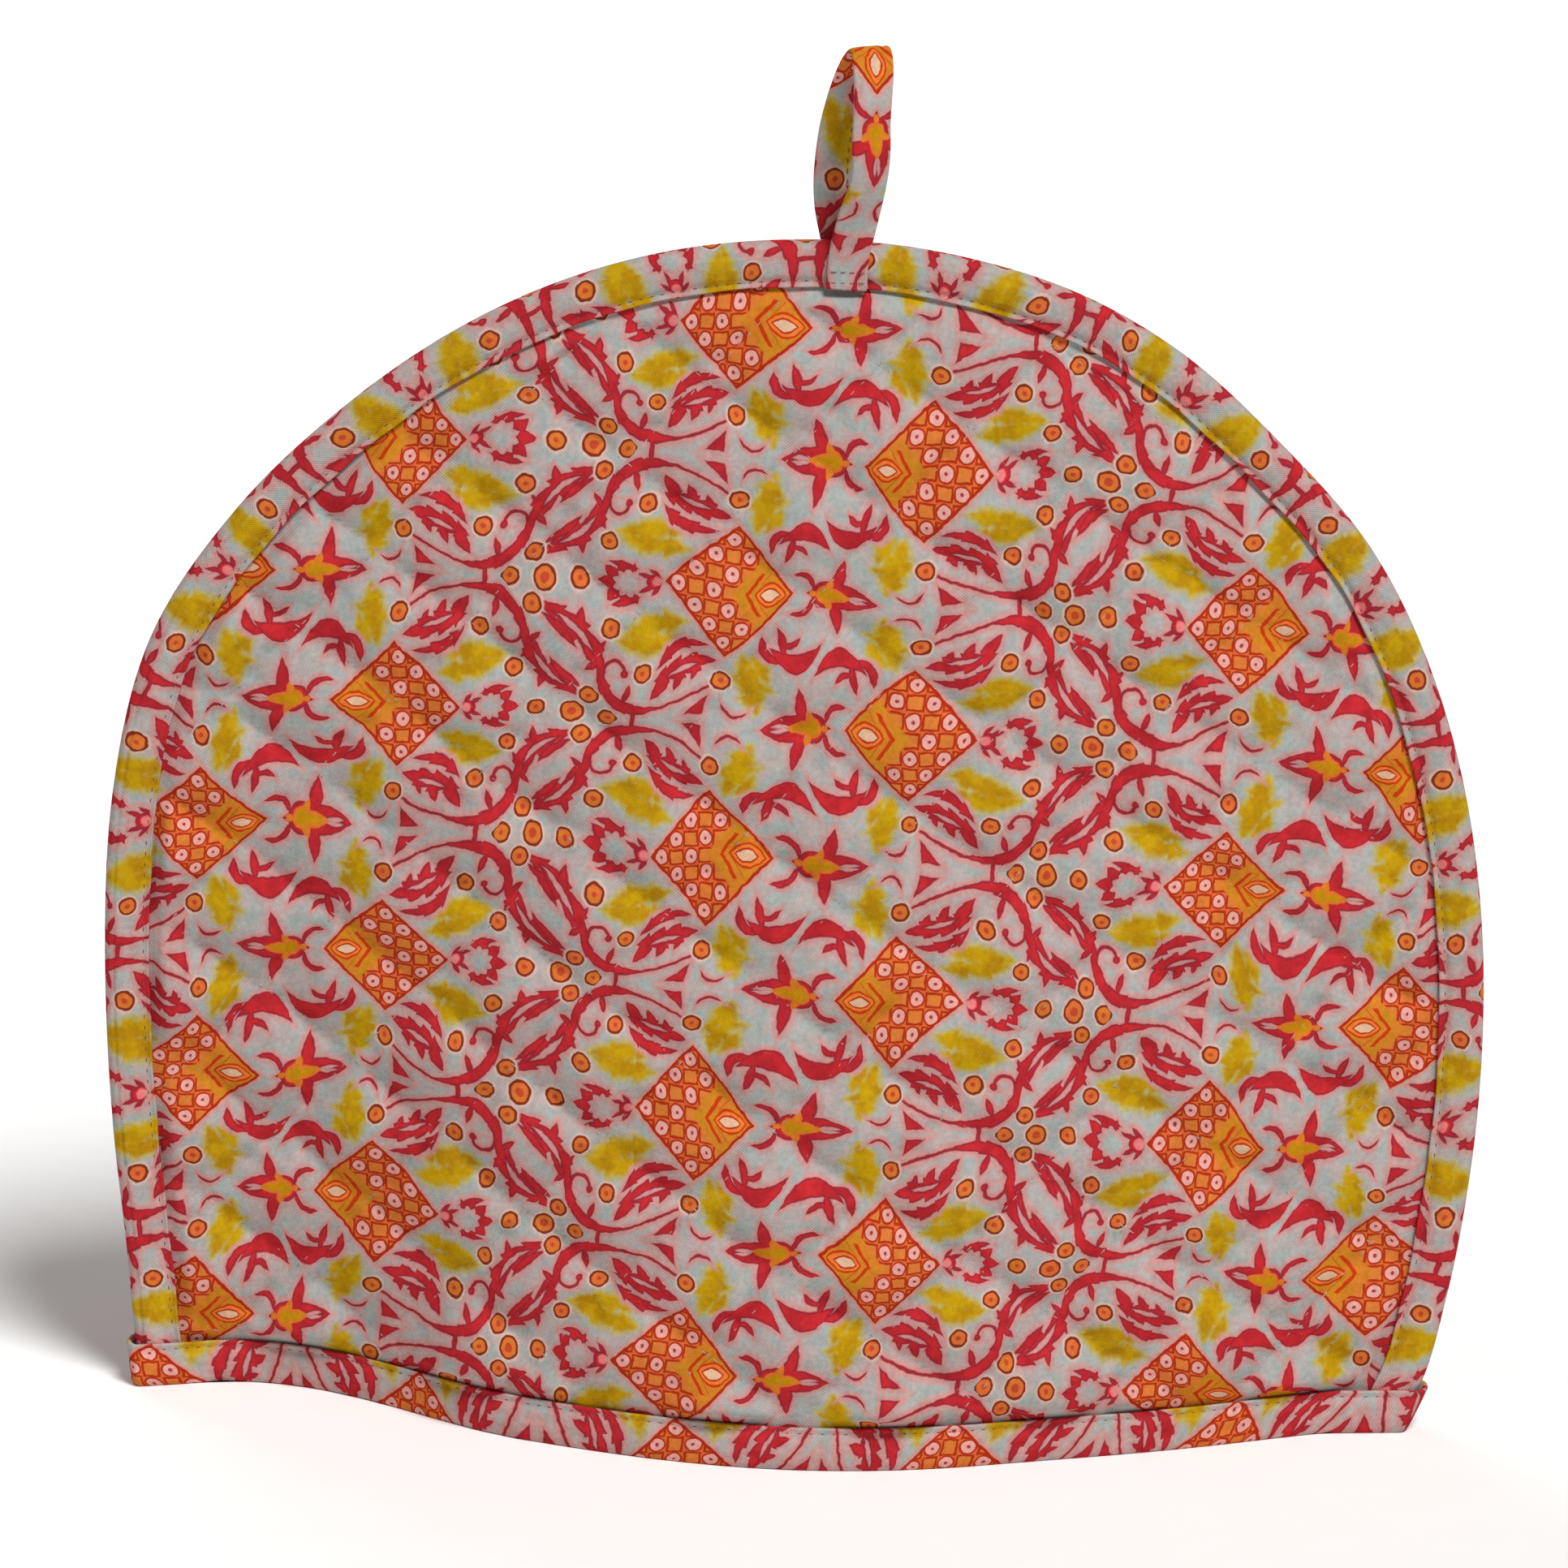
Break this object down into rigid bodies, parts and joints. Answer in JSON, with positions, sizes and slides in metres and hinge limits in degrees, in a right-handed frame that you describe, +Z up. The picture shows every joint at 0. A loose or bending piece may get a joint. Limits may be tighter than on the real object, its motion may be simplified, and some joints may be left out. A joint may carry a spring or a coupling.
{
  "type": "tea cosy",
  "caption": "Quilted arch-shaped tea cosy standing open on its bound hem, its two padded panels sewn flat together round the arch, with a hanging loop at the top.",
  "frame": {"origin": "on the surface the hem stands on, under the middle of the whole part's box", "axes": "+Z up from the hem to the loop, -Y out of the front panel, +X to the right of the front"},
  "size_m": [0.307, 0.0899, 0.3167],
  "materials": {
    "front_panel": "printed quilted cotton",
    "back_panel": "printed quilted cotton",
    "edge_binding": "printed cotton, folded",
    "hem_binding": "printed cotton, folded",
    "hanging_loop": "printed cotton, folded"
  },
  "bodies": {
    "root": {"front_panel": "front_panel", "back_panel": "back_panel", "edge_binding": "edge_binding", "hem_binding": "hem_binding", "hanging_loop": "hanging_loop"}
  },
  "joints": []
}
